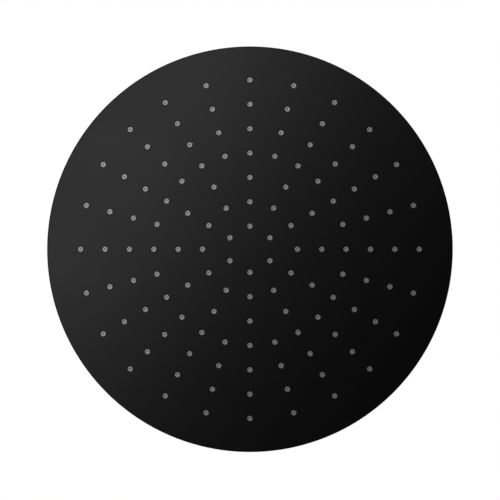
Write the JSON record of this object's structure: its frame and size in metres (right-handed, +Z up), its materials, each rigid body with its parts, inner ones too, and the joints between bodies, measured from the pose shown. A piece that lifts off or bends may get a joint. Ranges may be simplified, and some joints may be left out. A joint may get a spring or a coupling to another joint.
{
  "type": "round overhead shower head",
  "caption": "Slim round overhead shower head: flat matte black face with rings of soft grey nozzles, on a ball joint that turns and tilts below a threaded six-sided inlet.",
  "frame": {"origin": "middle of the inlet's mouth", "axes": "+Z up along the inlet, out of its mouth; the spray face points to -Z; +X along the axis of the tilt"},
  "size_m": [0.25, 0.25, 0.0533],
  "materials": {
    "black_coating": "matte black coating",
    "grey_silicone": "soft matte silicone",
    "brass": "turned",
    "black_rubber": "matte",
    "white_plastic": "moulded",
    "steel_wire": "wire mesh"
  },
  "bodies": {
    "inlet": {"ball_stem": "black_coating", "flow_restrictor": "white_plastic", "filter_screen": "steel_wire"},
    "swivel": {"inlet_washer": "black_rubber"},
    "head": {"face_shell": "black_coating", "nozzle_mat": "grey_silicone", "back_cover": "black_coating", "ball_socket": "brass", "ball_seal": "black_rubber", "friction_ring": "white_plastic", "collar": "black_coating"}
  },
  "joints": [
    {"name": "head_turn", "type": "hinge", "parent": "inlet", "child": "swivel", "pos_m": [0, 0, -0.02833], "axis": [0, 0, 1], "continuous": true},
    {"name": "head_tilt", "type": "hinge", "parent": "swivel", "child": "head", "pos_m": [0, 0, -0.02833], "axis": [1, 0, 0], "range_deg": [-15, 15]}
  ]
}
